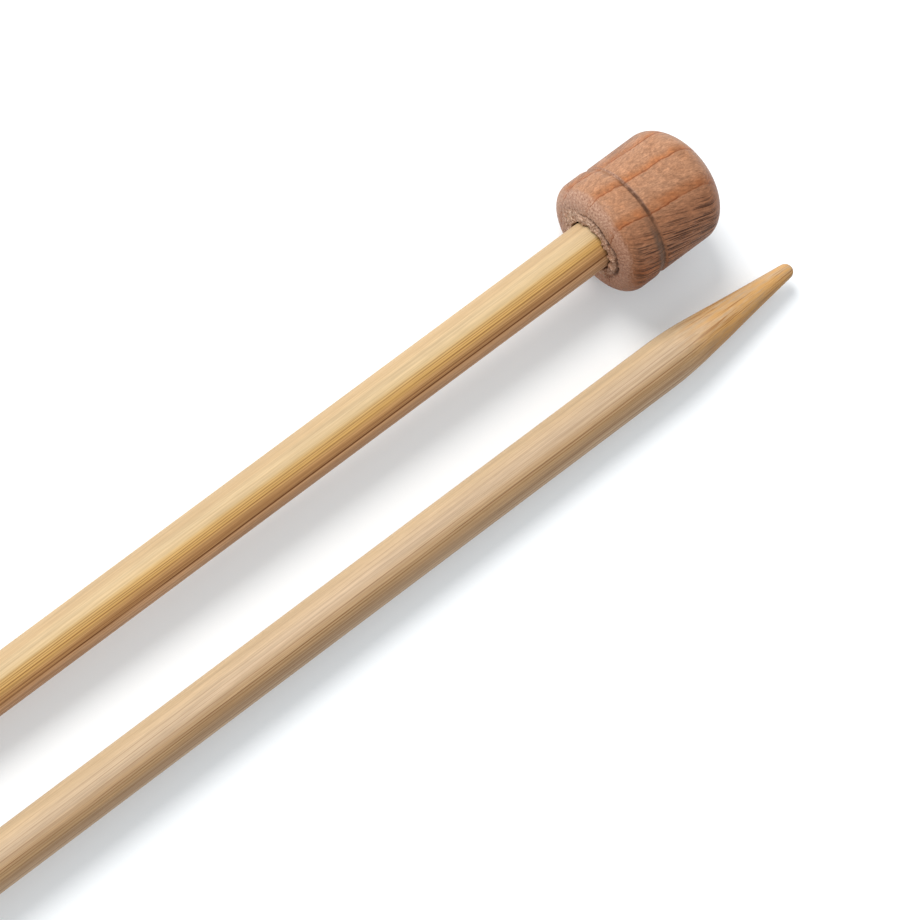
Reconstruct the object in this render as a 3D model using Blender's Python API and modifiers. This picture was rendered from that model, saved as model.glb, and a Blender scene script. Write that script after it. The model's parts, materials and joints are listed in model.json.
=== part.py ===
"""A pair of straight, single-pointed knitting needles in natural wood.

Each needle is a round bamboo shaft, glued into a blind bore in a turned beech
knob. The pair lies head to tail on a table, each needle resting on its knob's rim
and, towards the other end, on its shaft just behind the point.
Metres, +Z up, the pair's long way along X, its centre over the origin.
"""
import math

import bpy

# ---- driving dimensions -------------------------------------------------
GAUGE = 0.008  # shaft diameter, the size the needle is sold by
LENGTH = 0.330  # tip to far end of the knob
TAPER = 0.0245  # length of the point, where its cone would meet the shaft
SHOULDER_BLEND = 0.0039  # the cone's soft start reaches this far either way
TIP_RADIUS = 0.00125  # rounding of the very end
KNOB_DIAMETER = 0.0197  # the collar in front of the groove, the widest part
KNOB_LENGTH = 0.0214
BORE_DEPTH = 0.013  # blind, from the mouth
GAP = 0.0003  # glue line: clearance between shaft and bore
PASSING_GAP = 0.00156  # between the two knobs when one needle is drawn past the other
TIP_LEAD = 0.0062  # each tip lies this far past the other needle's knob

# ---- the knob's turned shape ---------------------------------------------
DRUM_STEP = 0.00012  # the drum behind the groove is this much slimmer than the collar
FACE_CURVE = 0.0030  # outer band of the face that rolls over
FACE_DEPTH = 0.0027  # how deep it rolls over
GROOVE_AT = 0.00685  # from the mouth to the groove's middle
GROOVE_WIDTH = 0.0010
GROOVE_DEPTH = 0.00047
DOME_LENGTH = 0.0058  # the rounded far end, before its flat is cut
DOME_FLAT = 0.00453  # radius of that flat
MOUTH_EASE = 0.0002  # the bore's broken edge
BUTT_CHAMFER = 0.0005  # on the shaft's end inside the knob

# ---- sizes that follow ---------------------------------------------------
RADIUS = GAUGE / 2
COLLAR_RADIUS = KNOB_DIAMETER / 2
DRUM_RADIUS = COLLAR_RADIUS - DRUM_STEP
LANE = KNOB_DIAMETER + PASSING_GAP  # between the two shafts' centre lines
BORE_RADIUS = RADIUS + GAP
MOUTH = LENGTH - KNOB_LENGTH  # heights are measured from the tip
BORE_END = MOUTH + BORE_DEPTH
SHAFT_END = BORE_END - GAP

# ---- facets --------------------------------------------------------------
SHAFT_STEPS = 40  # multiples of four, so that one row of corners faces straight down
KNOB_STEPS = 48
TIP_ARC_STEPS = 8
BLEND_STEPS = 6
SLOPE_ROUNDS = 8  # the cone's slope settles well before this many
SHAFT_LENGTHS = 6  # rings along the plain part of the shaft
FACE_STEPS = 9
DOME_STEPS = 10
GROOVE_STEPS = 6


def shaft_profile():
    """(radius, height) from the butt inside the knob down to the tip."""
    slope = math.atan2(RADIUS - TIP_RADIUS, TAPER - TIP_RADIUS)
    for _ in range(SLOPE_ROUNDS):  # the cone's side is tangent to the tip's rounding
        run = TAPER - TIP_RADIUS * (1 - math.sin(slope))
        slope = math.atan2(RADIUS - TIP_RADIUS * math.cos(slope), run)
    rows = [(0.0, SHAFT_END), (RADIUS - BUTT_CHAMFER, SHAFT_END)]
    rows.append((RADIUS, SHAFT_END - BUTT_CHAMFER))
    low = TAPER + SHOULDER_BLEND
    for i in range(1, SHAFT_LENGTHS):
        z = SHAFT_END - BUTT_CHAMFER + (low - SHAFT_END + BUTT_CHAMFER) * i / SHAFT_LENGTHS
        rows.append((RADIUS, z))
    for i in range(BLEND_STEPS + 1):  # parabola tangent to shaft and cone
        drop = 2 * SHOULDER_BLEND * i / BLEND_STEPS
        fall = math.tan(slope) * drop**2 / (4 * SHOULDER_BLEND)
        rows.append((RADIUS - fall, low - drop))
    for i in range(TIP_ARC_STEPS + 1):
        turn = slope + (math.pi / 2 - slope) * i / TIP_ARC_STEPS
        rows.append((TIP_RADIUS * math.cos(turn), TIP_RADIUS * (1 - math.sin(turn))))
    rows[-1] = (0.0, 0.0)
    return rows


def knob_profile():
    """(radius, height) from the centre of the far end, round the outside, into the bore."""
    rows = [(0.0, LENGTH)]
    # the flat cuts the elliptical dome where its radius is DOME_FLAT
    cut = math.acos(DOME_FLAT / DRUM_RADIUS)
    dome_start = LENGTH - DOME_LENGTH * math.sin(cut)
    for i in range(DOME_STEPS + 1):
        turn = cut * (1 - i / DOME_STEPS)
        rows.append((DRUM_RADIUS * math.cos(turn), dome_start + DOME_LENGTH * math.sin(turn)))
    groove = MOUTH + GROOVE_AT
    for i in range(GROOVE_STEPS + 1):
        turn = math.pi * i / GROOVE_STEPS
        land = DRUM_RADIUS + (COLLAR_RADIUS - DRUM_RADIUS) * i / GROOVE_STEPS
        height = groove + GROOVE_WIDTH / 2 * math.cos(turn)
        rows.append((land - GROOVE_DEPTH * math.sin(turn), height))
    for i in range(FACE_STEPS + 1):
        turn = math.pi / 2 * i / FACE_STEPS
        r = COLLAR_RADIUS - FACE_CURVE * (1 - math.cos(turn))
        rows.append((r, MOUTH + FACE_DEPTH * (1 - math.sin(turn))))
    rows.append((BORE_RADIUS + MOUTH_EASE, MOUTH))
    rows.append((BORE_RADIUS, MOUTH + MOUTH_EASE))
    rows.append((BORE_RADIUS, BORE_END))
    rows.append((0.0, BORE_END))
    return rows


def resting_angle(tip_rows, knob_rows):
    """Lean of a needle that lies on its knob at one end and near its point at the other."""
    return max(
        min(math.atan2(kr - tr, kz - tz) for tr, tz in tip_rows) for kr, kz in knob_rows
    )


# ---- scene ---------------------------------------------------------------
for old in list(bpy.data.objects):
    bpy.data.objects.remove(old, do_unlink=True)

parts = bpy.data.collections.new("knitting_needle_pair")
bpy.context.scene.collection.children.link(parts)


def material(name, colour, roughness):
    mat = bpy.data.materials.new(name)
    mat.use_nodes = True
    shader = mat.node_tree.nodes["Principled BSDF"]
    shader.inputs["Base Color"].default_value = (*colour, 1.0)
    shader.inputs["Roughness"].default_value = roughness
    return mat


def turned(name, rows, steps, mat, parent):
    """A solid turned round its own Z axis from a profile that starts and ends on it."""
    mesh = bpy.data.meshes.new(name)
    edges = [(i, i + 1) for i in range(len(rows) - 1)]
    mesh.from_pydata([(r, 0.0, z) for r, z in rows], edges, [])
    mesh.materials.append(mat)
    obj = bpy.data.objects.new(name, mesh)
    parts.objects.link(obj)
    obj.parent = parent
    screw = obj.modifiers.new("turn", "SCREW")
    screw.axis = "Z"
    screw.steps = steps
    screw.render_steps = steps
    screw.use_merge_vertices = True
    screw.merge_threshold = 0.00001
    screw.use_smooth_shade = True
    return obj


shaft_rows = shaft_profile()
knob_rows = knob_profile()
outer_rows = shaft_rows + knob_rows
tip_rows = [row for row in shaft_rows if row[1] < MOUTH / 2]
lean = resting_angle(tip_rows, knob_rows)
lift = max(r * math.cos(lean) - z * math.sin(lean) for r, z in outer_rows)
reach = max(z * math.cos(lean) + r * math.sin(lean) for r, z in outer_rows)
behind = max(r * math.sin(lean) - z * math.cos(lean) for r, z in outer_rows)
tip_end = (reach + behind + TIP_LEAD) / 2  # from the pair's middle to a tip

shades = {  # colour of shaft and knob, linear
    "needle_1": ((0.60, 0.36, 0.16), (0.46, 0.22, 0.09)),
    "needle_2": ((0.66, 0.42, 0.20), (0.44, 0.21, 0.085)),
}
for needle, facing in (("needle_1", 0.0), ("needle_2", math.pi)):
    # the rest turns the needle's upright axis down onto the table
    rest = bpy.data.objects.new(needle + "_rest", None)
    parts.objects.link(rest)
    away = math.cos(facing)
    rest.location = ((behind - tip_end) * away, LANE / 2 * away, lift)
    rest.rotation_euler = (0.0, math.pi / 2 - lean, facing)
    shaft_colour, knob_colour = shades[needle]
    bamboo = material(needle + "_shaft_wood", shaft_colour, 0.42)
    beech = material(needle + "_knob_wood", knob_colour, 0.38)
    turned(needle + "_shaft", shaft_rows, SHAFT_STEPS, bamboo, rest)
    turned(needle + "_knob", knob_rows, KNOB_STEPS, beech, rest)
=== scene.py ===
"""A pair of straight wooden knitting needles, lying head to tail in soft studio light.

Each needle is modelled in a frame of its own: the tip at the origin, the axis along
+Z towards the knob, and +X facing down when the needle lies on the table.
Lengths in the code are metres; patterns in the wood are worked out in millimetres.
"""

import json
import math

import bpy
import numpy as np
from mathutils import Matrix, Vector, noise


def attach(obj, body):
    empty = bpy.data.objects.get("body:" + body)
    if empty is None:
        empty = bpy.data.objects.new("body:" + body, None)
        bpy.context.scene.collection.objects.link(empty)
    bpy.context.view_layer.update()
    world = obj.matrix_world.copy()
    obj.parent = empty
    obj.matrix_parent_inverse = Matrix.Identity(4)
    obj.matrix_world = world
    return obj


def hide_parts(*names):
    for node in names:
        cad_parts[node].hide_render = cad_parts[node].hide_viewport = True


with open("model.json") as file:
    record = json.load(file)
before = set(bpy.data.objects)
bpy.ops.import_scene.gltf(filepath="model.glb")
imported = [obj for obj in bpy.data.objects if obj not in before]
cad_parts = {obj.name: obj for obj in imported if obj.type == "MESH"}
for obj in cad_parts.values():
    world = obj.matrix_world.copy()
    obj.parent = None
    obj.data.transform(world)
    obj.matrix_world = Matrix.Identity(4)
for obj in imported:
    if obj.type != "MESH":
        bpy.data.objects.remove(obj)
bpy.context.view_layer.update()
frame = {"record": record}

MM = 0.001

# ---- sizes of one needle ---------------------------------------------------
GAUGE = 8.0 * MM
LENGTH = 330.0 * MM
TAPER = 24.5 * MM
SHOULDER_BLEND = 3.9 * MM
TIP_RADIUS = 1.25 * MM
COLLAR_RADIUS = 9.85 * MM
DRUM_RADIUS = 9.73 * MM
KNOB_LENGTH = 21.4 * MM
BORE_DEPTH = 13.0 * MM
GAP = 0.3 * MM
FACE_CURVE = 3.0 * MM
FACE_DEPTH = 2.70 * MM
GROOVE_AT = 6.85 * MM
GROOVE_DEPTH = 0.34 * MM
GROOVE_WALL = 0.5 * MM  # the steep side, towards the drum
GROOVE_FLANK = 1.6 * MM  # the long easy side, up to the collar
DOME_LENGTH = 5.80 * MM
DOME_FLAT = 4.53 * MM
RADIUS = GAUGE / 2
BORE_RADIUS = RADIUS + GAP
MOUTH = LENGTH - KNOB_LENGTH
SHAFT_END = MOUTH + BORE_DEPTH - GAP

# ---- facets ----------------------------------------------------------------
SHAFT_SEGMENTS = 160
TIP_RINGS = 13
POINT_RINGS = 129
PLAIN_RINGS = 169
KNOB_SEGMENTS = 360
FLAT_RINGS = 14
DOME_RINGS = 43
DRUM_RINGS = 45
WALL_RINGS = 10  # down the groove's steep side
FLANK_RINGS = 12  # up its easy side
COLLAR_RINGS = 14
ROLL_RINGS = 45  # where the collar rolls over into the face
FACE_RINGS = 17


# ---- small helpers ---------------------------------------------------------
def smooth(lo, hi, x):
    """0 at lo and 1 at hi, with an easy start and stop."""
    t = np.clip((np.asarray(x, float) - lo) / (hi - lo), 0.0, 1.0)
    return t * t * (3 - 2 * t)


def onward(start, stop, count):
    """Evenly spaced values that follow start and end at stop."""
    return np.linspace(start, stop, count + 1)[1:]


def noise_grid(points, scale, offset):
    """Perlin noise, about -1 to 1, at each point (metres) with so many cells a millimetre."""
    shift = Vector(offset)
    k = Vector(scale) / MM
    return np.array(
        [noise.noise(Vector((p[0] * k.x, p[1] * k.y, p[2] * k.z)) + shift) for p in points]
    )


def paint(mesh, name, values):
    """A value for each vertex of the rings, which the material can read; 0 at the two poles."""
    layer = mesh.attributes.new(name, "FLOAT", "POINT")
    rings = np.clip(values, 0, 1).ravel()
    layer.data.foreach_set("value", np.append(rings, (0.0, 0.0)).astype(np.float32))


def lathe_mesh(name, ring_points):
    """A mesh from rings x segments x 3 points, closed with one point at each end."""
    rings, segs, _ = ring_points.shape
    poles = ring_points[0].mean(0), ring_points[-1].mean(0)
    verts = np.vstack([ring_points.reshape(-1, 3), *poles])
    first_pole, last_pole = rings * segs, rings * segs + 1
    last_ring = (rings - 1) * segs
    i = np.arange(rings - 1)[:, None] * segs
    j = np.arange(segs)
    jn = (j + 1) % segs
    quads = np.stack([i + j, i + segs + j, i + segs + jn, i + jn], -1).reshape(-1, 4)
    fan_a = np.stack([np.full(segs, first_pole), j, jn], -1)
    fan_b = np.stack([np.full(segs, last_pole), last_ring + jn, last_ring + j], -1)
    mesh = bpy.data.meshes.new(name)
    faces = quads.tolist() + fan_a.tolist() + fan_b.tolist()
    mesh.from_pydata(verts.tolist(), [], faces)
    mesh.update()
    mesh.polygons.foreach_set("use_smooth", [True] * len(mesh.polygons))
    return mesh


# ---- shader helpers --------------------------------------------------------
WAX_SHINE = 0.14  # specular level of the waxed or varnished wood


class Wood:
    """A material whose pattern is cut from a solid block, in the needle's own frame."""

    def __init__(self, name):
        self.mat = bpy.data.materials.new(name)
        self.mat.use_nodes = True
        self.tree = self.mat.node_tree
        self.nodes = self.tree.nodes
        self.shader = self.nodes["Principled BSDF"]
        coords = self.nodes.new("ShaderNodeTexCoord")
        self.mm = self.vector("SCALE", coords.outputs["Object"], scale=1 / MM)

    def link(self, source, socket):
        """Set a socket to a number or a tuple, or join it to another node's output."""
        if isinstance(source, (int, float)):
            socket.default_value = source
        elif isinstance(source, (tuple, list, Vector)):
            socket.default_value = tuple(source)
        else:
            self.tree.links.new(source, socket)

    def math(self, op, a, b=0.0, c=0.0):
        n = self.nodes.new("ShaderNodeMath")
        n.operation = op
        for value, socket in zip((a, b, c), n.inputs):
            self.link(value, socket)
        return n.outputs[0]

    def vector(self, op, a, b=(0, 0, 0), scale=1.0):
        n = self.nodes.new("ShaderNodeVectorMath")
        n.operation = op
        self.link(a, n.inputs[0])
        if op == "SCALE":
            n.inputs[3].default_value = scale
        elif op not in ("LENGTH", "NORMALIZE"):
            self.link(b, n.inputs[1])
        return n.outputs[1] if op in ("DOT_PRODUCT", "LENGTH") else n.outputs[0]

    def add_scaled(self, value, factor, offset):
        """value x factor + offset"""
        return self.math("MULTIPLY_ADD", value, factor, offset)

    def product(self, first, *others):
        for other in others:
            first = self.math("MULTIPLY", first, other)
        return first

    def largest(self, first, *others):
        for other in others:
            first = self.math("MAXIMUM", first, other)
        return first

    def along(self, direction):
        """How far a point lies in one direction, in mm from the needle's tip."""
        return self.vector("DOT_PRODUCT", self.mm, tuple(direction))

    def attribute(self, name):
        n = self.nodes.new("ShaderNodeAttribute")
        n.attribute_name = name
        return n.outputs["Fac"]

    def own_normal(self):
        """The surface's direction in the needle's own frame."""
        geometry = self.nodes.new("ShaderNodeNewGeometry")
        turned = self.nodes.new("ShaderNodeVectorTransform")
        turned.vector_type = "NORMAL"
        turned.convert_from = "WORLD"
        turned.convert_to = "OBJECT"
        self.link(geometry.outputs["Normal"], turned.inputs[0])
        return turned.outputs[0]

    def combine(self, x, y, z):
        n = self.nodes.new("ShaderNodeCombineXYZ")
        for value, socket in zip((x, y, z), n.inputs):
            self.link(value, socket)
        return n.outputs[0]

    def stretch(self, vec, scale, shift=(0, 0, 0)):
        return self.vector("ADD", self.vector("MULTIPLY", vec, scale), shift)

    def noise(self, vec, scale, shift, detail=2.0, rough=0.5):
        """Noise, 0 to 1, with so many cells a millimetre along each axis of vec."""
        n = self.nodes.new("ShaderNodeTexNoise")
        self.link(self.stretch(vec, scale, shift), n.inputs["Vector"])
        n.inputs["Scale"].default_value = 1.0
        n.inputs["Detail"].default_value = detail
        n.inputs["Roughness"].default_value = rough
        return n.outputs[0]

    def cells(self, vec, scale, shift):
        """Distance to the nearest of scattered points, in cells."""
        n = self.nodes.new("ShaderNodeTexVoronoi")
        self.link(self.stretch(vec, scale, shift), n.inputs["Vector"])
        n.inputs["Scale"].default_value = 1.0
        return n.outputs["Distance"]

    def strip(self, around, at, width, strength):
        """A soft-edged line along the needle, at so many mm round it."""
        gap = self.math("ABSOLUTE", self.math("SUBTRACT", around, at))
        return self.range(gap, width, width * 0.35, 0.0, strength)

    def range(self, value, lo, hi, to_lo=0.0, to_hi=1.0):
        """A smooth step from to_lo at lo to to_hi at hi."""
        n = self.nodes.new("ShaderNodeMapRange")
        n.interpolation_type = "SMOOTHSTEP"
        for v, key in ((value, 0), (lo, 1), (hi, 2), (to_lo, 3), (to_hi, 4)):
            self.link(v, n.inputs[key])
        return n.outputs[0]

    def ramp(self, value, stops):
        n = self.nodes.new("ShaderNodeValToRGB")
        self.link(value, n.inputs[0])
        line = n.color_ramp
        while len(line.elements) < len(stops):
            line.elements.new(0.5)
        for element, (at, colour) in zip(line.elements, stops):
            element.position = at
            element.color = (*colour, 1.0)
        return n.outputs[0]

    def mix(self, amount, a, b, blend="MIX"):
        n = self.nodes.new("ShaderNodeMix")
        n.data_type = "RGBA"
        n.blend_type = blend
        self.link(amount, n.inputs[0])
        self.link((*a, 1.0) if isinstance(a, tuple) else a, n.inputs[6])
        self.link((*b, 1.0) if isinstance(b, tuple) else b, n.inputs[7])
        return n.outputs[2]

    def times(self, colour, factor):
        """A colour made brighter or darker by a number, or tinted by another colour."""
        if not isinstance(factor, tuple):
            factor = self.combine(factor, factor, factor)
        return self.mix(1.0, colour, factor, "MULTIPLY")

    def tint(self, amount, colour, shade):
        """A colour taken part of the way to itself times a shade."""
        return self.mix(amount, colour, self.times(colour, shade))

    def finish(self, colour, roughness, height, distance):
        """Join everything to the shader; a height of 1 stands out by the distance."""
        bump = self.nodes.new("ShaderNodeBump")
        bump.inputs["Strength"].default_value = 1.0
        bump.inputs["Distance"].default_value = distance
        self.link(height, bump.inputs["Height"])
        self.link(bump.outputs[0], self.shader.inputs["Normal"])
        self.link(colour, self.shader.inputs["Base Color"])
        self.link(roughness, self.shader.inputs["Roughness"])
        self.shader.inputs["Specular IOR Level"].default_value = WAX_SHINE
        return self.mat


# ---- bamboo ----------------------------------------------------------------
# In both woods a noise's scale is in cells a millimetre: twice across the grain, then
# along it. A seed only moves a pattern. Levels were set against the photograph.
THREAD_BROWN = (0.17, 0.065, 0.018)
CUT_ORANGE = (0.54, 0.285, 0.085)
STREAK_BROWN = (0.27, 0.115, 0.032)
SKIN_TONE_AND_PAINTED_SHADE = (0.62, 0.54, 0.50)
POINT_FROM, POINT_TO = 27.0, 15.0  # mm from the tip: the sanded look starts, and is full


def bamboo(name, outward, seed, stops, line_strength, streak, strips):
    """Bamboo split from a culm wall. Vascular bundles run along Z and crowd towards
    the culm's outer skin, which lies in the direction outward. The boldest bundles,
    strips, are given one by one: degrees round from the top, width in mm, strength."""
    w = Wood(name)
    ox, oy = outward
    a = w.along((ox, oy, 0))
    b = w.along((-oy, ox, 0))
    z = w.along((0, 0, 1))
    lengthwise = w.combine(0.0, 0.0, z)
    wander = w.noise(lengthwise, (1, 1, 0.012), (seed, 0, 0), detail=1.0)
    drift = w.add_scaled(wander, 0.9, -0.45)
    a2 = w.math("ADD", a, drift)
    b2 = w.math("ADD", b, w.math("MULTIPLY", drift, -0.7))
    block = w.combine(a2, b2, z)
    # tone across the wall
    uneven = w.noise(block, (0.9, 0.9, 0.008), (seed * 3.1, 5, 1))
    across = w.math("ADD", a2, w.add_scaled(uneven, 1.6, -0.8))
    base = w.ramp(w.add_scaled(across, 0.125, 0.5), stops)
    dense = w.range(across, -0.9, 1.6)
    # bundles: long dark threads, each cut to a line where it meets the surface
    near = w.cells(block, (1.9, 1.9, 0.004), (seed * 1.7, 3, 2))
    thread = w.product(w.range(near, 0.34, 0.14), w.add_scaled(dense, 0.42, 0.05))
    veins = w.noise(block, (2.7, 2.7, 0.004), (seed * 2.3, 9, 4), detail=1.0)
    vein = w.product(w.range(veins, 0.50, 0.37), w.add_scaled(dense, 0.42, 0.07))
    fade = w.noise(block, (1.1, 1.1, 0.02), (seed, 8, 8))
    faded = w.product(w.largest(thread, vein), w.range(fade, 0.30, 0.60, 0.45, 1.0))
    hairs = w.noise(block, (4.6, 4.6, 0.010), (seed * 3.7, 2, 4), detail=1.0)
    hair = w.product(w.range(hairs, 0.50, 0.38), w.add_scaled(dense, 0.34, 0.09))
    # the boldest bundles, placed by how far round the shaft they lie
    turn = w.math("ARCTAN2", w.along((0, math.copysign(1, oy), 0)), w.along((-1, 0, 0)))
    sway = w.noise(lengthwise, (1, 1, 0.018), (seed, 7, 3))
    round_mm = w.add_scaled(turn, RADIUS / MM, w.add_scaled(sway, 0.5, -0.25))
    bold = 0.0
    for degrees, width, strength in strips:
        at = math.radians(degrees) * RADIUS / MM
        bold = w.largest(bold, w.strip(round_mm, at, width, strength))
    broken = w.noise(w.combine(round_mm, seed, z), (1.6, 1, 0.035), (0, 0, 0))
    bold = w.product(bold, w.range(broken, 0.30, 0.55, 0.40, 1.0))
    dark = w.largest(faded, bold, hair)
    # fibres between the bundles
    fine = w.noise(block, (6.0, 6.0, 0.03), (seed * 5.0, 1, 7), detail=3.0, rough=0.65)
    bands = w.noise(block, (1.4, 1.4, 0.006), (seed * 6.0, 5, 5), detail=1.0)
    dashes = w.noise(block, (4.5, 4.5, 0.30), (seed * 7.0, 2, 9))
    cloud = w.noise(block, (0.5, 0.5, 0.03), (seed, 4, 3))
    fibre = w.product(
        w.range(fine, 0.34, 0.66, 0.91, 1.09),
        w.range(bands, 0.32, 0.68, 0.95, 1.05),
        w.range(dashes, 0.3, 0.7, 0.95, 1.04),
        w.range(cloud, 0.3, 0.7, 0.95, 1.05),
    )
    colour = w.times(base, fibre)
    # the sanded point shows cut fibres: fewer threads, more orange, with short streaks
    point = w.range(z, POINT_FROM, POINT_TO)
    threads = w.product(dark, w.add_scaled(point, -0.6 * line_strength, line_strength))
    colour = w.mix(threads, colour, THREAD_BROWN)
    cut = w.noise(block, (1.3, 1.3, 0.045), (seed * 2.0, 6, 6), detail=3.0, rough=0.6)
    orange = w.product(point, w.range(cut, 0.35, 0.62, 0.20, 0.80))
    colour = w.mix(orange, colour, CUT_ORANGE)
    # the point is darker towards the skin side, which is its side away from the light: partly
    # the skin's own tone, partly painted shade
    skinward_tone_and_shade = w.product(point, w.range(a, -0.6, 2.4, 0.0, 0.55))
    colour = w.tint(skinward_tone_and_shade, colour, SKIN_TONE_AND_PAINTED_SHADE)
    outwards = w.vector("NORMALIZE", w.vector("MULTIPLY", w.mm, (1, 1, 0)))
    skin = w.vector("ADD", w.vector("SCALE", outwards, scale=RADIUS / MM), lengthwise)
    runs = w.noise(skin, (1.9, 1.9, 0.09), (seed * 4.0, 2, 2), detail=3.0, rough=0.6)
    streaks = w.product(point, w.range(runs, 0.53, 0.64, 0.0, streak))
    colour = w.mix(streaks, colour, STREAK_BROWN)
    height = w.math("MULTIPLY_ADD", dark, -0.7, fine)
    rough = w.add_scaled(fine, 0.16, 0.46)
    return w.finish(colour, rough, height, 0.05 * MM)


# ---- beech -----------------------------------------------------------------
BEECH_MIDDLE = (MOUTH + 14 * MM) / MM  # height of the block's middle, mm from the tip
RINGS_PER_MM = 0.179  # growth rings, broad ones
BEECH_TONES = ((0.18, (0.36, 0.195, 0.115)), (0.42, (0.335, 0.165, 0.09)),
               (0.62, (0.31, 0.135, 0.062)), (0.85, (0.25, 0.09, 0.037)))
END_TONES = ((0.30, (0.17, 0.080, 0.048)), (0.50, (0.37, 0.21, 0.145)),
             (0.68, (0.52, 0.34, 0.245)))
TORN_FIBRE_AND_HOLLOW_SHADE_TONES = ((0.36, (0.09, 0.038, 0.022)), (0.46, (0.34, 0.19, 0.12)),
              (0.58, (0.74, 0.56, 0.43)))
LATE_ORANGE = (0.40, 0.14, 0.048)
RING_LINE = (0.15, 0.042, 0.016)
RAY_BROWN = (0.062, 0.022, 0.010)
GROOVE_FLANK_PAINTED_SHADE = (0.120, 0.062, 0.036)
GROOVE_BOTTOM_DARK = (0.08, 0.035, 0.018)
CRACK_PAINTED_SHADE = (0.035, 0.013, 0.007)
PAINTED_SHADE_AWAY_FROM = (-0.3, 0.95, 0)  # painted shade: the knob is made darker and browner away from this side, which on needle 1 faces the light
# how far the painted side shade darkens the sides, the end grain and the torn lip
PAINTED_SIDE_SHADE = (0.69, 0.515, 0.40)
PAINTED_SIDE_SHADE_ENDS = (0.93, 0.80, 0.72)
PAINTED_SIDE_SHADE_TORN = (0.82, 0.70, 0.62)


def beech(name, ring_normal, lean, seed, phase):
    """Beech: broad growth rings stacked along ring_normal, rays as thin dark lenses,
    the grain leaning a little off the knob's axis."""
    w = Wood(name)
    n = Vector((*ring_normal, 0)).normalized()
    g = Vector((*lean, 1)).normalized()
    n = (n - g * n.dot(g)).normalized()
    m = g.cross(n)
    middle = w.vector("SUBTRACT", w.mm, (0, 0, BEECH_MIDDLE))
    t, s, z = (w.vector("DOT_PRODUCT", middle, tuple(d)) for d in (n, m, g))
    block = w.combine(t, s, z)
    facing = w.own_normal()
    towards_n = w.math("ABSOLUTE", w.vector("DOT_PRODUCT", facing, tuple(n)))
    end_grain = w.math("ABSOLUTE", w.vector("DOT_PRODUCT", facing, tuple(g)))
    # growth rings: each darkens and reddens up to a broken line
    warp = w.noise(block, (0.09, 0.13, 0.06), (seed, 2, 1), detail=3.0, rough=0.6)
    jag = w.noise(block, (0.9, 1.6, 0.35), (seed, 6, 1), rough=0.6)
    across = w.math("MULTIPLY_ADD", warp, 1.7, w.math("MULTIPLY_ADD", jag, 0.45, t))
    saw = w.math("FRACT", w.add_scaled(across, RINGS_PER_MM, phase))
    late = w.range(saw, 0.62, 0.97)
    broken = w.noise(block, (0.5, 0.8, 0.34), (seed, 8, 2), detail=3.0)
    line = w.product(w.range(saw, 0.945, 0.975), w.range(saw, 1.0, 0.985),
                     w.range(broken, 0.36, 0.58, 0.15, 0.9))
    glow = w.product(w.range(saw, 0.66, 0.98), w.range(broken, 0.40, 0.64, 0.04, 0.60))
    cloud = w.noise(block, (0.22, 0.5, 0.10), (seed, 7, 3), detail=3.0)
    base = w.ramp(w.math("MULTIPLY_ADD", cloud, 0.7, w.math("MULTIPLY", late, 0.3)), BEECH_TONES)
    fibre = w.noise(block, (3.6, 3.6, 0.55), (seed, 3, 5), detail=3.0, rough=0.7)
    pores = w.noise(block, (8.0, 8.0, 0.7), (seed, 9, 2), detail=1.0)
    grain = w.product(w.add_scaled(fibre, 1.15, 0.43), w.range(pores, 0.30, 0.62, 0.90, 1.06))
    colour = w.times(base, grain)
    colour = w.mix(glow, colour, LATE_ORANGE)
    colour = w.mix(w.math("MULTIPLY", line, 0.8), colour, RING_LINE)
    # rays: sheets that run along the ring normal, a lens in section
    ray = w.range(w.cells(block, (0.10, 3.0, 0.11), (seed * 1.3, 1, 6)), 0.38, 0.24)
    small = w.range(w.cells(block, (0.16, 4.2, 0.22), (seed * 2.3, 5, 2)), 0.46, 0.26)
    tangential = w.range(towards_n, 0.60, 0.92)
    rays = w.product(
        w.largest(ray, w.math("MULTIPLY", small, 0.85)),
        w.add_scaled(tangential, 0.85, 0.15),
        w.range(end_grain, 0.75, 0.20, 0.35, 1.0),
    )
    colour = w.mix(w.math("MULTIPLY", rays, 0.90), colour, RAY_BROWN)
    # painted shade: darker and browner away from one side, on needle 1 the side away from the
    # light; and small blotches
    toward_unshaded_side = w.along(PAINTED_SHADE_AWAY_FROM)
    side = w.range(toward_unshaded_side, 5.2, -2.0, 0.0, 0.72)
    colour = w.tint(side, colour, PAINTED_SIDE_SHADE)
    mottle = w.noise(block, (1.7, 2.1, 1.0), (seed, 2, 8), detail=4.0, rough=0.8)
    colour = w.times(colour, w.range(mottle, 0.34, 0.66, 0.83, 1.18))
    # end grain: darker, purplish, finely speckled, with an uneven edge; the painted side shade
    # reaches it too
    uneven = w.math("MULTIPLY_ADD", warp, 0.5, w.add_scaled(fibre, 0.3, -0.4))
    ends = w.range(w.math("ADD", end_grain, uneven), 0.60, 0.86)
    speck = w.noise(w.combine(t, s, 0.0), (2.8, 2.8, 1), (seed, 1, 1), detail=3.0, rough=0.75)
    end_colour = w.tint(side, w.ramp(speck, END_TONES), PAINTED_SIDE_SHADE_ENDS)
    rings_left = w.largest(w.math("MULTIPLY", glow, 0.7), line)
    colour = w.mix(w.product(ends, w.add_scaled(rings_left, -0.75, 0.85)), colour, end_colour)
    colour = groove_colour(w, colour, seed, toward_unshaded_side)
    # torn lip round the bore: paler threads, and near-black patches of painted shade for the
    # hollows between them; the painted side shade reaches it too
    ragged = w.noise(w.mm, (3.2, 3.2, 3.2), (seed, 3, 3), detail=4.0, rough=0.85)
    lip_colour = w.tint(side, w.ramp(ragged, TORN_FIBRE_AND_HOLLOW_SHADE_TONES), PAINTED_SIDE_SHADE_TORN)
    colour = w.mix(w.math("MULTIPLY", w.attribute("torn"), 0.8), colour, lip_colour)
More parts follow.
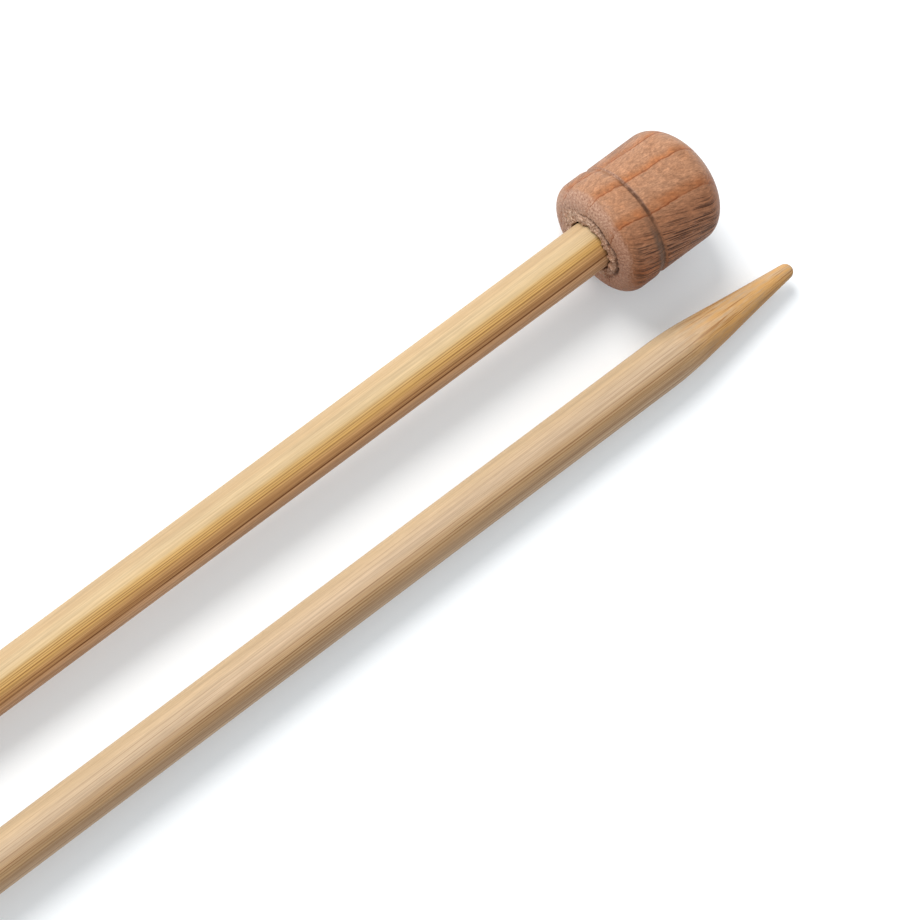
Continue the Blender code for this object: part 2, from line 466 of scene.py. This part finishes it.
    # painted shade: the bottom of the crack is painted near-black
    colour = w.mix(w.math("MULTIPLY", w.attribute("crack"), 0.9), colour, CRACK_PAINTED_SHADE)
    height = w.math("MULTIPLY_ADD", rays, -1.6, w.math("MULTIPLY", fibre, 0.6))
    height = w.math("ADD", height, w.product(speck, ends, 1.2))
    rough = w.add_scaled(fibre, 0.2, 0.36)
    return w.finish(colour, rough, height, 0.06 * MM)


def groove_colour(w, colour, seed, toward_unshaded_side):
    """The groove's flank, greyer with painted shade, and a darker line along its bottom."""
    up = w.along((0, 0, 1))
    upright = w.along((0, 1, 0))
    groove = (MOUTH + GROOVE_AT) / MM
    patches = w.noise(w.mm, (0.9, 0.9, 1.6), (seed, 6, 4), detail=3.0)
    # painted shade over the flank beside the groove, strongest away from one side (on needle 1's
    # knob, away from the light)
    flank_painted_shade = w.product(
        w.range(up, groove - 1.9, groove - 1.0),
        w.range(up, groove + 0.2, groove),
        w.range(toward_unshaded_side, 3.5, -2.5, 0.06, 1.0),
        w.range(patches, 0.30, 0.60, 0.60, 0.95),
    )
    colour = w.mix(flank_painted_shade, colour, GROOVE_FLANK_PAINTED_SHADE)
    # a darker line along the groove's bottom, in patches, fading off round the sides
    bottom_patches = w.noise(w.mm, (0.7, 0.7, 0.7), (seed, 4, 1), detail=3.0)
    bottom = w.product(
        w.range(up, groove - 0.45, groove - 0.05),
        w.range(up, groove + 0.55, groove + 0.12),
        w.range(bottom_patches, 0.34, 0.62, 0.25, 0.95),
        w.range(upright, 7.0, 3.5, 0.25, 1.0),
        w.range(upright, -5.0, -1.5, 0.2, 1.0),
    )
    return w.mix(bottom, colour, GROOVE_BOTTOM_DARK)


# ---- shaft -----------------------------------------------------------------
SLOPE_ROUNDS = 8  # the cone's slope settles well before this many
TIP_TURN = 0.93 * math.pi / 2  # the tip's own rings end just short of its full rounding
BUTT_CHAMFER = 0.4 * MM
BUTT_EASE = 0.15 * MM  # the chamfer's middle ring
FIBRE_RELIEF = 0.010 * MM
SHAFT_WAVER = 0.020 * MM
SANDED_FLATS = 0.07 * MM
TIP_CALM = 1.5 * MM  # the sanded flats fade out over the last of the tip


def shaft_radius(z):
    """Radius of the plain turned shape at height z above the tip."""
    slope = math.atan2(RADIUS - TIP_RADIUS, TAPER - TIP_RADIUS)
    for _ in range(SLOPE_ROUNDS):  # the cone's side is tangent to the tip's rounding
        run = TAPER - TIP_RADIUS * (1 - math.sin(slope))
        slope = math.atan2(RADIUS - TIP_RADIUS * math.cos(slope), run)
    cone = RADIUS - (TAPER - z) * math.tan(slope)
    u = np.clip(TAPER + SHOULDER_BLEND - z, 0, 2 * SHOULDER_BLEND)
    blended = RADIUS - math.tan(slope) * u**2 / (4 * SHOULDER_BLEND)
    r = np.where(z > TAPER - SHOULDER_BLEND, blended, cone)
    cap = np.sqrt(np.clip(TIP_RADIUS**2 - (TIP_RADIUS - z) ** 2, 0, None))
    tangent = TIP_RADIUS * (1 - math.sin(slope))
    return np.where(z < tangent, cap, r)


def shaft_mesh(name, seed):
    """One shaft, from its chamfered butt down to its rounded tip."""
    shoulder = TAPER + SHOULDER_BLEND
    cap = TIP_RADIUS * (1 - np.cos(onward(0, TIP_TURN, TIP_RINGS)))
    point = onward(cap[-1], shoulder, POINT_RINGS)
    plain = onward(shoulder, SHAFT_END - BUTT_CHAMFER, PLAIN_RINGS)
    z = np.concatenate([cap, point, plain, [SHAFT_END - BUTT_EASE, SHAFT_END]])
    r = shaft_radius(z)
    r[-2:] = (RADIUS - BUTT_EASE, RADIUS - BUTT_CHAMFER)
    phi = np.arange(SHAFT_SEGMENTS) * 2 * math.pi / SHAFT_SEGMENTS
    zz, pp = np.meshgrid(z, phi, indexing="ij")
    rr = np.repeat(r[:, None], SHAFT_SEGMENTS, 1)
    around = np.stack([np.cos(pp) * RADIUS, np.sin(pp) * RADIUS, zz], -1).reshape(-1, 3)
    # fibres stand a few microns proud; the point keeps faint flats from sanding
    fibres = noise_grid(around, (2.4, 2.4, 0.012), (seed, 0, 0)).reshape(rr.shape)
    slow = noise_grid(around, (0.16, 0.16, 0.012), (seed, 9, 0)).reshape(rr.shape)
    sanded = noise_grid(around, (0.34, 0.34, 0.10), (seed, 4, 4)).reshape(rr.shape)
    pointed = smooth(shoulder, TAPER - 6 * MM, zz) * smooth(0, TIP_CALM, zz)
    rr = rr + FIBRE_RELIEF * fibres + SHAFT_WAVER * slow + SANDED_FLATS * sanded * pointed
    pts = np.stack([rr * np.cos(pp), rr * np.sin(pp), zz], -1)
    return lathe_mesh(name, pts[::-1])


# ---- knob ------------------------------------------------------------------
POLE_HOLE = 0.4 * MM  # radius of the innermost ring at the far end
FLANK_EASE = 1.2  # power that shapes the groove's easy side
MOUTH_EASE = 0.2 * MM  # the bore's broken edge
BARE_FROM, TORN_TO = 1.6 * MM, 0.9 * MM  # heights: torn wood only near the face
RIM_RADIUS = 6 * MM  # circle on which the lip's unevenness is read
LIP_RADIUS = 6.05 * MM  # the torn wood round the bore reaches out to here
LIP_RISE = 0.22 * MM
LIP_FUZZ = 0.26 * MM
CRACK_DEPTH = 0.55 * MM
CRACK_WIDTH, CRACK_GAPE = 0.09 * MM, 0.17 * MM  # half width, and what gaping adds to it
RUFF_REACH = 0.7 * MM  # the torn wood's loose fringe, outside its edge
RUFF_RISE = 0.16 * MM
FACE_FUZZ = 0.03 * MM
KNOB_WAVER = 0.02 * MM
KNOB_PULL = 0.006 * MM  # fine ridges left by the turning tool


def knob_profile():
    """Dense (radius, height above the mouth) rows from the far end round into the bore."""
    # the flat cuts the elliptical dome where its radius is DOME_FLAT
    cut = math.acos(DOME_FLAT / DRUM_RADIUS)
    dome_start = KNOB_LENGTH - DOME_LENGTH * math.sin(cut)
    wall_top = GROOVE_AT + GROOVE_WALL
    flank_end = GROOVE_AT - GROOVE_FLANK
    foot = DRUM_RADIUS - GROOVE_DEPTH
    rows = [(r, KNOB_LENGTH) for r in np.linspace(POLE_HOLE, DOME_FLAT, FLAT_RINGS)]
    for t in onward(cut, 0, DOME_RINGS):
        rows.append((DRUM_RADIUS * math.cos(t), dome_start + DOME_LENGTH * math.sin(t)))
    rows += [(DRUM_RADIUS, h) for h in onward(dome_start, wall_top, DRUM_RINGS)]
    for f in onward(0, 1, WALL_RINGS):
        fall = GROOVE_DEPTH * (1 - math.cos(f * math.pi)) / 2
        rows.append((DRUM_RADIUS - fall, wall_top - GROOVE_WALL * f))
    for f in onward(0, 1, FLANK_RINGS):
        rise = (COLLAR_RADIUS - foot) * math.sin(f * math.pi / 2) ** FLANK_EASE
        rows.append((foot + rise, GROOVE_AT - GROOVE_FLANK * f))
    rows += [(COLLAR_RADIUS, h) for h in onward(flank_end, FACE_DEPTH, COLLAR_RINGS)]
    for t in onward(0, math.pi / 2, ROLL_RINGS):
        r = COLLAR_RADIUS - FACE_CURVE * (1 - math.cos(t))
        rows.append((r, FACE_DEPTH * (1 - math.sin(t))))
    # the flat face, the bore's broken edge, and the bore
    inner = COLLAR_RADIUS - FACE_CURVE
    rows += [(r, 0.0) for r in onward(inner, BORE_RADIUS + MOUTH_EASE, FACE_RINGS)]
    rows.append((BORE_RADIUS + 0.08 * MM, 0.05 * MM))
    rows += [(BORE_RADIUS, h) for h in (MOUTH_EASE, 0.6 * MM, 1.5 * MM, 4 * MM, BORE_DEPTH)]
    rows.append((0.5 * MM, BORE_DEPTH))
    return np.array(rows)


def knob_mesh(name, seed, opening):
    """One knob; the wood round its bore is torn most in the direction opening."""
    rows = knob_profile()
    r, h = rows[:, 0], rows[:, 1]
    dr, dh = np.gradient(r), np.gradient(h)
    size = np.hypot(dr, dh) + 1e-12
    nr, nh = -dh / size, dr / size  # outward, as the profile runs down its outer side
    phi = np.arange(KNOB_SEGMENTS) * 2 * math.pi / KNOB_SEGMENTS
    hh, pp = np.meshgrid(h, phi, indexing="ij")
    rr = np.repeat(r[:, None], KNOB_SEGMENTS, 1)
    surface = np.stack([rr * np.cos(pp), rr * np.sin(pp), hh], -1).reshape(-1, 3)
    rim = np.stack([RIM_RADIUS * np.cos(pp), RIM_RADIUS * np.sin(pp), 0 * pp], -1)
    rim = rim.reshape(-1, 3)

    def over(points, scale, offset):
        return noise_grid(points, scale, (seed, *offset)).reshape(rr.shape)

    slow = over(surface, (0.10, 0.10, 0.10), (0, 3))
    pull = over(surface, (1.5, 1.5, 0.35), (7, 3))
    fuzz = over(surface, (2.6, 2.6, 2.6), (3, 3))
    shreds = over(surface, (1.1, 1.1, 2.0), (5, 9))
    wild = over(rim, (0.5, 0.5, 1), (8, 2))
    # the torn lip reaches out to an uneven edge, where a crack runs round part of the way
    edge = LIP_RADIUS + 0.25 * MM * np.cos(pp - opening + 1.75)
    edge = edge + 0.55 * MM * over(rim, (0.35, 0.35, 1), (1, 5))
    edge = edge + 0.34 * MM * over(rim, (1.3, 1.3, 1), (6, 5))
    outside = rr > BORE_RADIUS + 0.03 * MM
    face = smooth(BARE_FROM, TORN_TO, hh) * outside
    lip = face * smooth(0.15 * MM, -0.45 * MM, rr - edge)
    gape = smooth(-0.15, 0.95, np.cos(pp - opening) + 0.5 * wild)
    crack = face * np.exp(-(((rr - edge) / (CRACK_WIDTH + CRACK_GAPE * gape)) ** 2)) * gape
    crack = crack * (0.7 + 0.9 * np.abs(shreds))
    ruff = face * np.exp(-np.clip(rr - edge, 0, None) / RUFF_REACH)
    ruff = ruff * smooth(-0.1, 0.5, fuzz + 0.4 * wild)
    torn = np.clip(lip * (0.75 + 0.6 * shreds) + 0.8 * ruff * (1 - lip), 0, 1)
    # how far each point stands out from the turned shape
    heave = 0.35 + 1.0 * smooth(-0.45, 0.35, wild)
    push = KNOB_WAVER * slow + KNOB_PULL * pull
    push = push + lip * heave * (LIP_RISE + LIP_FUZZ * (fuzz + shreds)) - CRACK_DEPTH * crack
    push = push + (FACE_FUZZ * fuzz + RUFF_RISE * ruff) * face * (1 - lip)
    push = push * (outside | (hh < 0.3 * MM))  # the bore's wall stays plain
    rr = rr + push * nr[:, None]
    hh = hh + push * nh[:, None]
    mesh = lathe_mesh(name, np.stack([rr * np.cos(pp), rr * np.sin(pp), hh + MOUTH], -1))
    paint(mesh, "torn", torn)
    paint(mesh, "crack", crack)
    return mesh


# ---- the woods -------------------------------------------------------------
# dark bundles: degrees round the shaft from its top, width in mm, strength
BUNDLES_1 = (
    (-2, 0.10, 0.42), (3.5, 0.11, 0.60), (8, 0.10, 0.50), (14, 0.13, 0.70), (20, 0.10, 0.35),
    (27, 0.12, 0.50), (33, 0.15, 0.75), (42, 0.23, 1.10), (50, 0.12, 0.50), (58, 0.12, 0.45),
    (70, 0.20, 0.70), (-22, 0.09, 0.14), (-40, 0.10, 0.12), (-57, 0.10, 0.10),
)
BUNDLES_2 = (
    (4, 0.11, 0.55), (12, 0.10, 0.30), (19, 0.13, 0.90), (25, 0.12, 0.75), (31, 0.10, 0.35),
    (38, 0.13, 0.65), (48, 0.14, 0.75), (55, 0.12, 0.50), (64, 0.18, 0.85), (-8, 0.09, 0.30),
    (-15, 0.09, 0.35), (-27, 0.09, 0.30), (-38, 0.09, 0.25),
)
# tones across the culm wall, from the pith side to the skin side
CREAM_1 = (
    (0.05, (0.47, 0.33, 0.185)), (0.20, (0.50, 0.37, 0.215)), (0.30, (0.53, 0.38, 0.20)),
    (0.38, (0.53, 0.33, 0.122)), (0.47, (0.50, 0.29, 0.092)), (0.57, (0.47, 0.26, 0.10)),
    (0.70, (0.47, 0.24, 0.095)), (0.80, (0.62, 0.355, 0.185)), (0.95, (0.52, 0.31, 0.17)),
)
CREAM_2 = (
    (0.05, (0.47, 0.34, 0.205)), (0.30, (0.47, 0.345, 0.23)), (0.50, (0.42, 0.275, 0.150)),
    (0.64, (0.38, 0.24, 0.120)), (0.80, (0.43, 0.285, 0.165)), (0.95, (0.45, 0.31, 0.19)),
)
BAMBOOS = {
    "needle_1": bamboo("bamboo_1", (0.25, -0.968), 1.37, CREAM_1, 0.95, 0.5, BUNDLES_1),
    "needle_2": bamboo("bamboo_2", (0.20, 0.980), 6.61, CREAM_2, 0.72, 0.8, BUNDLES_2),
}
BEECHES = {
    "needle_1": beech("beech_1", (-0.375, -0.927), (0.23, -0.231), 3.36, 0.74),
    "needle_2": beech("beech_2", (-0.80, 0.60), (-0.05, 0.10), 2.71, 0.3),
}
SEEDS = {"needle_1": 11.3, "needle_2": 47.9}
OPENINGS = {"needle_1": math.radians(212), "needle_2": math.radians(60)}  # where the lip gapes

# ---- assembly --------------------------------------------------------------
mounts = {mount["name"]: mount for mount in frame["record"]["mounts"]}


def lying(needle):
    """World matrix of a needle's own frame, from the flat at the end of its knob."""
    mount = mounts[needle + "_end"]
    axis = Vector(mount["axis"]).normalized()
    down = (Vector((0, 0, -1)) + axis * axis.z).normalized()
    side = axis.cross(down)
    turn = Matrix((down, side, axis)).transposed().to_4x4()
    turn.translation = Vector(mount["pos_m"]) - axis * LENGTH
    return turn


def place(mesh, name, needle, mat):
    """A piece of a needle, in its material, riding on that needle's body."""
    obj = bpy.data.objects.new(name, mesh)
    bpy.context.scene.collection.objects.link(obj)
    mesh.materials.append(mat)
    obj.matrix_world = lying(needle)
    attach(obj, needle)
    return obj


for needle, seed in SEEDS.items():
    mesh = shaft_mesh(needle + "_shaft_wood", seed)
    shaft = place(mesh, needle + "_bamboo", needle, BAMBOOS[needle])
    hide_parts(needle + "_shaft")
    mesh = knob_mesh(needle + "_knob_wood", seed, OPENINGS[needle])
    knob = place(mesh, needle + "_beech", needle, BEECHES[needle])
    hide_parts(needle + "_knob")

# ---- floor and light -------------------------------------------------------
FLOOR_HALF = 12.0
FLOOR_COLOUR = (0.785, 0.80, 0.815, 1)
FLOOR_GLOW = (0.88, 0.955, 1.0, 1)
FLOOR_GLOW_STRENGTH = 0.165
SKY_COLOUR = (0.95, 0.98, 1.0, 1)
SKY_STRENGTH = 0.75
LIGHT_COLOUR = (1.0, 0.985, 0.965)
LIGHT_SIZE = 0.86
LIGHT_WATTS = 26.5
LIGHT_FROM = Vector((-0.08, 0.66, 0.75)).normalized()
LIGHT_DISTANCE = 1.6
LIGHT_AT = Vector((0.10, 0.0, 0.0))

floor_mesh = bpy.data.meshes.new("floor")
signs = ((-1, -1), (1, -1), (1, 1), (-1, 1))
corners = [(x * FLOOR_HALF, y * FLOOR_HALF, 0) for x, y in signs]
floor_mesh.from_pydata(corners, [], [(0, 1, 2, 3)])
floor = bpy.data.objects.new("floor", floor_mesh)
bpy.context.scene.collection.objects.link(floor)
floor_mat = bpy.data.materials.new("floor_paper")
floor_mat.use_nodes = True
paper = floor_mat.node_tree.nodes["Principled BSDF"].inputs
paper["Base Color"].default_value = FLOOR_COLOUR
paper["Roughness"].default_value = 0.9
paper["Specular IOR Level"].default_value = 0.0
paper["Emission Color"].default_value = FLOOR_GLOW
paper["Emission Strength"].default_value = FLOOR_GLOW_STRENGTH
floor_mesh.materials.append(floor_mat)

world = bpy.data.worlds.new("studio")
bpy.context.scene.world = world
world.use_nodes = True
sky = world.node_tree.nodes["Background"].inputs
sky["Color"].default_value = SKY_COLOUR
sky["Strength"].default_value = SKY_STRENGTH

softbox_data = bpy.data.lights.new("softbox", "AREA")
softbox_data.shape = "DISK"
softbox_data.size = LIGHT_SIZE
softbox_data.energy = LIGHT_WATTS
softbox_data.color = LIGHT_COLOUR
softbox = bpy.data.objects.new("softbox", softbox_data)
bpy.context.scene.collection.objects.link(softbox)
softbox.location = LIGHT_AT + LIGHT_FROM * LIGHT_DISTANCE
softbox.rotation_euler = LIGHT_FROM.to_track_quat("Z", "Y").to_euler()

# ---- camera ----------------------------------------------------------------
ELEVATION = math.radians(67.8)
PICTURE_ANGLE = math.radians(36.75)  # the needles' slope across the picture
DISTANCE = 1.5
SENSOR = 36.0
FOCUS_WIDTHS = 10.60946  # focal length in picture widths
AIM = Vector((0.1055, -0.0038, 0.0))

forward = Vector((math.cos(ELEVATION), 0, -math.sin(ELEVATION)))
climb = Vector((math.sin(ELEVATION), 0, math.cos(ELEVATION)))
across = Vector((0, -1, 0))
right = climb * math.cos(PICTURE_ANGLE) + across * math.sin(PICTURE_ANGLE)
up = climb * math.sin(PICTURE_ANGLE) - across * math.cos(PICTURE_ANGLE)
view = Matrix((right, up, -forward)).transposed().to_4x4()
view.translation = AIM - forward * DISTANCE
cam_data = bpy.data.cameras.new("camera")
cam_data.sensor_width = SENSOR
cam_data.lens = SENSOR * FOCUS_WIDTHS
cam_data.clip_end = 60.0
cam = bpy.data.objects.new("camera", cam_data)
bpy.context.scene.collection.objects.link(cam)
cam.matrix_world = view
bpy.context.scene.camera = cam
bpy.context.scene.view_settings.view_transform = "Standard"
